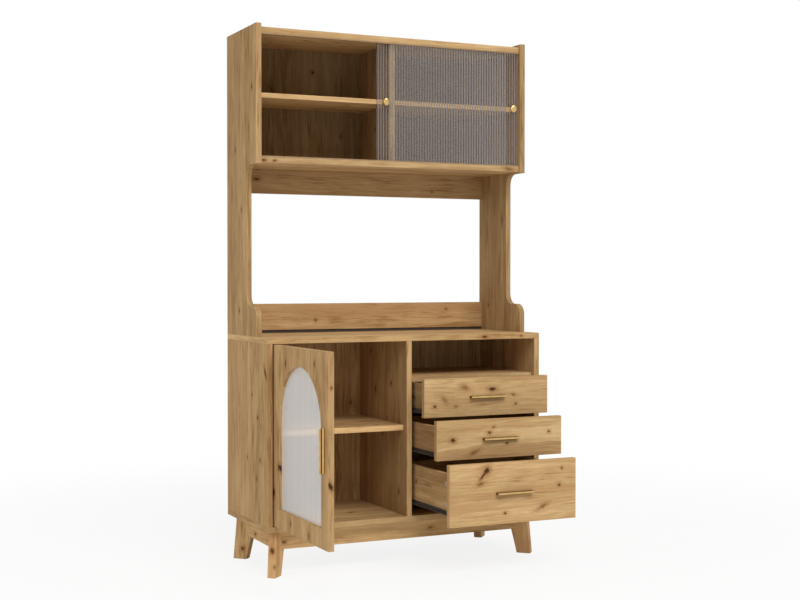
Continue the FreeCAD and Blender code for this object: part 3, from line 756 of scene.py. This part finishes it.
def dress_boards():
    """Oak on every board, each with its own stretch of figure, its own knots and its own tone, which holds
    painted shade and light.
    """
    slots = {entry["node"]: entry["material_slot"] for entry in frame["record"]["subparts"]}
    for seed, node in enumerate(sorted(slots), start=1):
        if slots[node] not in WOOD_TONES:
            continue
        grain, across = grain_of(node)
        low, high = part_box(node)
        knots = KNOTS.get(node) or scattered_knots(low, high, grain, across, seed)
        tone = WOOD_TONES[slots[node]] * BOARD_TONES_AND_SHADE.get(node, 1.0)
        edge_tone_and_light = EDGE_TONES_AND_LIGHT.get(node, 1.0)
        rear_tone = PANEL_REAR_TONE if slots[node] == "back_panel" else 0.0
        oak = oak_material(node, grain, across, knots, seed, tone, edge_tone_and_light, rear_tone)
        paint(frame["nodes"][node], oak)


def dress_fittings():
    """Metal and plastic on the handles, knobs, runners, tracks, pivots, clips and slot strip."""
    finishes = {slot: coat_material(slot, *coat) for slot, coat in COATS.items()}
    finishes["brushed_gold"] = brushed_gold("knob")
    for entry in frame["record"]["subparts"]:
        if entry["material_slot"] in finishes:
            paint(frame["nodes"][entry["node"]], finishes[entry["material_slot"]])
    paint(frame["nodes"]["door_handle"], brushed_gold("door_handle", DOOR_HANDLE_SHADE_ZONES))
    for number in (1, 2, 3):
        node = "drawer_%d_handle" % number
        paint(frame["nodes"][node], brushed_gold(node, DRAWER_HANDLE_SHADE_ZONES))


def cover_cap(name, middle, outward):
    """Round domed cap on a board's side: a square grid (u, v) is drawn into a disc by
    u * sqrt(1 - v * v / 2) and v * sqrt(1 - u * u / 2), and stands out by its rise less the rise times the
    distance squared."""
    side = np.linspace(-1.0, 1.0, CAP_GRID)
    u, v = np.meshgrid(side, side)
    y = u * np.sqrt(1.0 - v ** 2 / 2)
    z = v * np.sqrt(1.0 - u ** 2 / 2)
    x = outward * CAP_RISE * (1.0 - y ** 2 - z ** 2)
    points = np.stack([middle[0] + x, middle[1] + CAP_RADIUS * y, middle[2] + CAP_RADIUS * z], axis=-1)
    return grid_mesh(name, points if outward > 0 else points[::-1])


def dress_caps():
    """Plastic caps over the fittings that hold the lowest drawer's front, two on each of its sides."""
    plastic = coat_material("cap_plastic", *CAP_COAT)
    left_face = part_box("drawer_3_left_side")[0].x
    right_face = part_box("drawer_3_right_side")[1].x
    for side, face, outward in (("left", left_face, -1), ("right", right_face, 1)):
        for level, height in CAP_HEIGHTS.items():
            cap = cover_cap("cap_%s_%s" % (side, level), (face, CAP_PLACE, height), outward)
            cap.data.shade_smooth()
            paint(cap, plastic)
            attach(cap, "drawer_3")


def flat_head(distance, low, high):
    """Level top edge of a sheet."""
    return np.full_like(distance, high.z)


def arched_head(distance, low, high):
    """Round head of the door's glass: the springing line plus the half circle's height at that distance."""
    radius = (high.y - low.y) / 2
    middle = (low.y + high.y) / 2
    return high.z - radius + np.sqrt(np.maximum(radius ** 2 - (distance - middle) ** 2, 0.0))


def ribbed_sheet(name, axis, low, high, head, rib_depth):
    """Ribbed glass sheet with its edges, in the box from low to high, its ribs side by side along axis.
    Over (distance across, height) the front face is flat less an arched rib of rib_depth on each pitch, the
    rear face is flat, and the top follows head. The section front-up, over the top, rear-down and under the
    bottom is one closed row per distance."""
    across = AXIS[axis]
    normal = 1 - across
    ribs = max(1, round((high[across] - low[across]) / RIB_PITCH))
    steps = np.linspace(0.0, 1.0, ribs * RIB_STEPS + 1)
    distance = low[across] + (high[across] - low[across]) * steps
    phase = 2.0 * ((steps * ribs) % 1.0) - 1.0
    front = low[normal] + rib_depth * phase ** 2
    rear = np.full_like(front, high[normal])
    top = head(distance, low, high)
    bottom = np.full_like(top, low.z)
    points = np.empty((len(distance), 4, 3))
    points[:, :, across] = distance[:, None]
    points[:, :, normal] = np.stack([front, front, rear, rear], axis=1)
    points[:, :, 2] = np.stack([bottom, top, top, bottom], axis=1)
    sheet = grid_mesh(name, points, wrap=True, caps=True)
    turn_outwards(sheet.data)
    smooth_by_angle(sheet, SHARP_EDGE)
    return sheet


def turn_outwards(mesh):
    """Flips a closed mesh whose signed volume is negative, so that its faces point outwards."""
    mesh.calc_loop_triangles()
    places = np.empty(len(mesh.vertices) * 3)
    mesh.vertices.foreach_get("co", places)
    corners = np.empty(len(mesh.loop_triangles) * 3, np.int32)
    mesh.loop_triangles.foreach_get("vertices", corners)
    a, b, c = places.reshape(-1, 3)[corners].reshape(-1, 3, 3).transpose(1, 0, 2)
    if np.einsum("ij,ij->i", a, np.cross(b, c)).sum() < 0.0:
        mesh.flip_normals()


def dress_glass():
    """Finely ribbed sheets in place of the panes and of the door's glass."""
    sheets = (
        ("left_ribbed_pane", "left_pane", "left_sliding_door", "x", flat_head, HUTCH_GLASS),
        ("right_ribbed_pane", "right_pane", "right_sliding_door", "x", flat_head, HUTCH_GLASS),
        ("door_ribbed_glass", "door_glass", "door", "y", arched_head, DOOR_GLASS),
    )
    for name, node, body, axis, head, glass in sheets:
        low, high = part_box(node)
        sheet = ribbed_sheet(name, axis, low, high, head, glass["rib_depth"])
        paint(sheet, ribbed_glass_material(name, axis, low, high, glass))
        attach(sheet, body)
        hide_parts(node)


make_camera()
make_world()
make_lamp("key", KEY_PLACE, KEY_AIM, KEY_SIZE, KEY_POWER)
make_lamp("fill", FILL_PLACE, FILL_AIM, FILL_SIZE, FILL_POWER)
make_floor()
dress_boards()
dress_fittings()
dress_caps()
dress_glass()

scene.view_settings.view_transform = "Standard"
